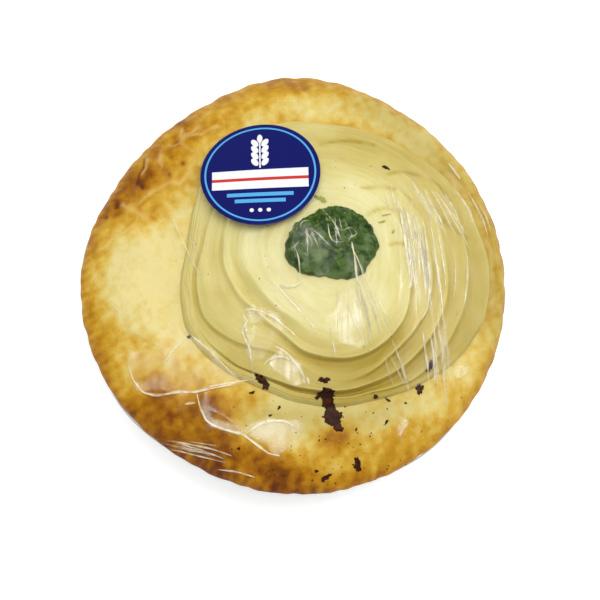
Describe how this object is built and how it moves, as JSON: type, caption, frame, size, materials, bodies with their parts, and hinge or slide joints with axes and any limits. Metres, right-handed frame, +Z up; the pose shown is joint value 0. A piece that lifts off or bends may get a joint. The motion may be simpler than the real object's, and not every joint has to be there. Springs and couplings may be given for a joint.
{
  "type": "beef and potato pie",
  "caption": "Round single-serve pie in a pleated foil tin, with off-centre swirled mashed potato, a dollop of mushy peas, a round blue sticker and a clear film wrap.",
  "frame": {"origin": "On the surface the pie stands on, under the middle of its bounding box, which is the middle of the tin.", "axes": "+Z is up. +X is the side where the mash comes close to the rim, and +Y is the far side in the picture, towards which the sticker slopes."},
  "size_m": [0.1355, 0.1383, 0.0542],
  "materials": {
    "foil": "pressed foil with a dull sheen",
    "pastry": "baked shortcrust with a light egg glaze",
    "mash": "smooth spread mashed potato",
    "peas": "crushed peas, moist",
    "sticker": "coated paper sticker in blue, white and red fields",
    "film": "clear stretched cling film with bright creases"
  },
  "bodies": {
    "root": {"foil_tin": "foil", "pie_crust": "pastry", "mashed_potato": "mash", "mushy_peas": "peas", "sticker": "sticker", "film_wrap": "film"}
  },
  "joints": []
}
